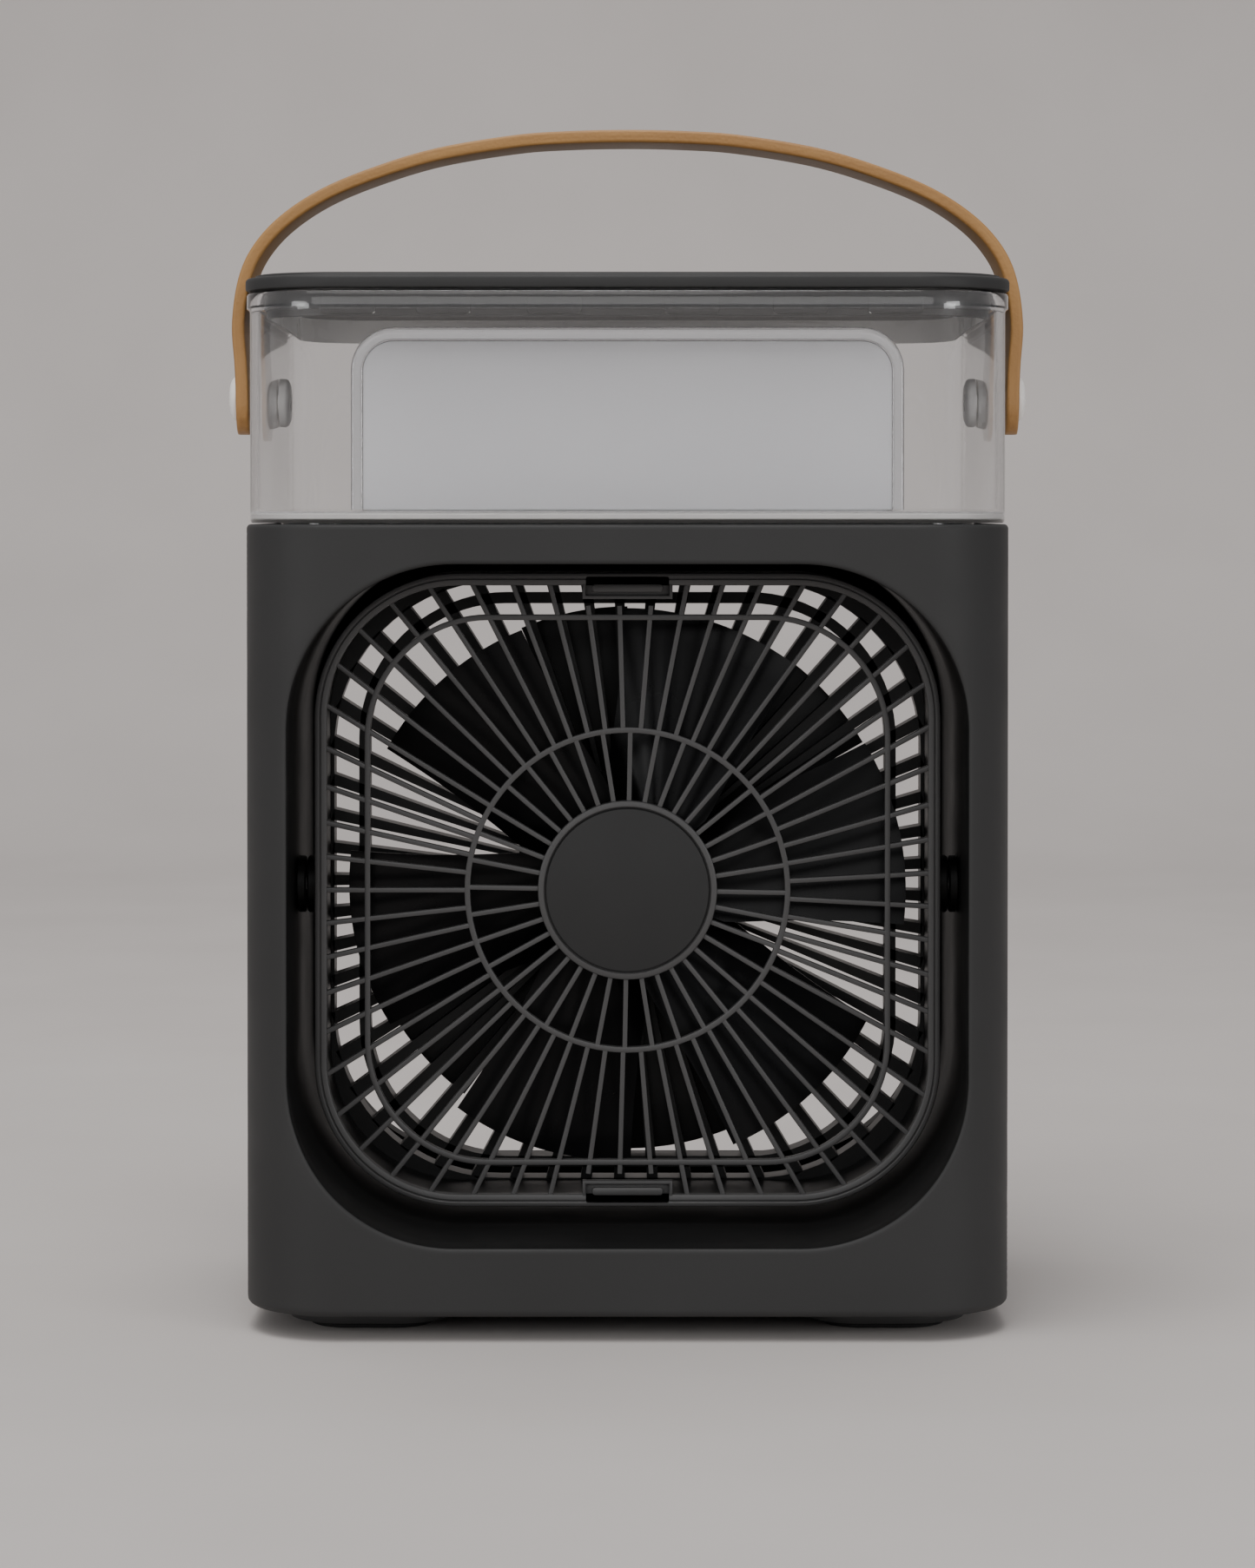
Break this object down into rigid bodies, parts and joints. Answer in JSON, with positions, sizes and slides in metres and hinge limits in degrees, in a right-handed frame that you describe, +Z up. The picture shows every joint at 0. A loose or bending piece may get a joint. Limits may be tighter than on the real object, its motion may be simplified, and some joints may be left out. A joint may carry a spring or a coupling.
{
  "type": "box fan",
  "caption": "Small tabletop box fan with a tilting square grille unit, a clear lidded water tank on top and a strap handle.",
  "frame": {"origin": "centre of the footprint, on the plane of the feet", "axes": "+Z up, +X to the fan's right as seen from the front, front faces -Y"},
  "size_m": [0.19, 0.12, 0.2778],
  "materials": {
    "charcoal_plastic": "fine moulded texture, satin",
    "dark_plastic": "moulded, satin",
    "rubber": "matte",
    "steel": "brushed",
    "brass": "sintered bearing metal",
    "fan_black": "glossy",
    "clear_plastic": "clear, polished",
    "frosted_plastic": "frosted, translucent",
    "tan_leather": "smooth strap leather look",
    "white_plastic": "satin",
    "circuit_board": "lacquered board"
  },
  "bodies": {
    "stand": {"housing": "charcoal_plastic", "base_plate": "dark_plastic", "base_screw_front_left": "steel", "base_screw_front_right": "steel", "base_screw_rear_left": "steel", "base_screw_rear_right": "steel", "foot_front_left": "dark_plastic", "foot_front_right": "dark_plastic", "foot_rear_left": "dark_plastic", "foot_rear_right": "dark_plastic", "foot_pad_front_left": "rubber", "foot_pad_front_right": "rubber", "foot_pad_rear_left": "rubber", "foot_pad_rear_right": "rubber", "control_board": "circuit_board", "power_socket": "steel", "pivot_bushing_left": "dark_plastic", "pivot_bushing_right": "dark_plastic", "water_tank": "clear_plastic", "chamber_frame": "clear_plastic", "chamber_panel_front": "frosted_plastic", "chamber_panel_rear": "frosted_plastic", "handle_rivet_left": "white_plastic", "handle_rivet_right": "white_plastic", "handle_spacer_left": "white_plastic", "handle_spacer_right": "white_plastic", "rivet_cap_left": "frosted_plastic", "rivet_cap_right": "frosted_plastic"},
    "fan_pod": {"front_grille": "charcoal_plastic", "front_disc": "charcoal_plastic", "grille_latch_top": "charcoal_plastic", "grille_latch_bottom": "charcoal_plastic", "fan_shroud": "charcoal_plastic", "rear_guard": "dark_plastic", "motor_can": "steel", "motor_end_cap": "dark_plastic", "motor_bearing_front": "brass", "motor_bearing_rear": "brass", "pivot_pin_left": "steel", "pivot_pin_right": "steel"},
    "fan_rotor": {"fan_wheel": "fan_black", "fan_nut": "dark_plastic", "motor_shaft": "steel", "motor_rotor": "steel"},
    "tank_lid": {"lid": "charcoal_plastic", "lid_skirt": "charcoal_plastic", "lid_seal": "rubber"},
    "carry_strap": {"handle_strap": "tan_leather"},
    "push_button_1": {"button_1": "dark_plastic"},
    "push_button_2": {"button_2": "dark_plastic"},
    "push_button_3": {"button_3": "dark_plastic"}
  },
  "joints": [
    {"name": "pod_tilt", "type": "hinge", "parent": "stand", "child": "fan_pod", "pos_m": [0, 0, 0.0985], "axis": [-1, 0, 0], "range_deg": [-25, 35]},
    {"name": "fan_spin", "type": "hinge", "parent": "fan_pod", "child": "fan_rotor", "pos_m": [0, 0, 0.0985], "axis": [0, -1, 0], "continuous": true},
    {"name": "handle_swing", "type": "hinge", "parent": "stand", "child": "carry_strap", "pos_m": [0, 0, 0.2145], "axis": [1, 0, 0], "range_deg": [-10, 10]},
    {"name": "lid_lift", "type": "slide", "parent": "stand", "child": "tank_lid", "axis": [0, 0, 1], "range_m": [0, 0.0015]},
    {"name": "button_1_press", "type": "slide", "parent": "stand", "child": "push_button_1", "axis": [0, -1, 0], "range_m": [0, 0.0012], "stiffness_N_per_m": 250, "springref_m": -0.0008},
    {"name": "button_2_press", "type": "slide", "parent": "stand", "child": "push_button_2", "axis": [0, -1, 0], "range_m": [0, 0.0012], "stiffness_N_per_m": 250, "springref_m": -0.0008},
    {"name": "button_3_press", "type": "slide", "parent": "stand", "child": "push_button_3", "axis": [0, -1, 0], "range_m": [0, 0.0012], "stiffness_N_per_m": 250, "springref_m": -0.0008}
  ]
}
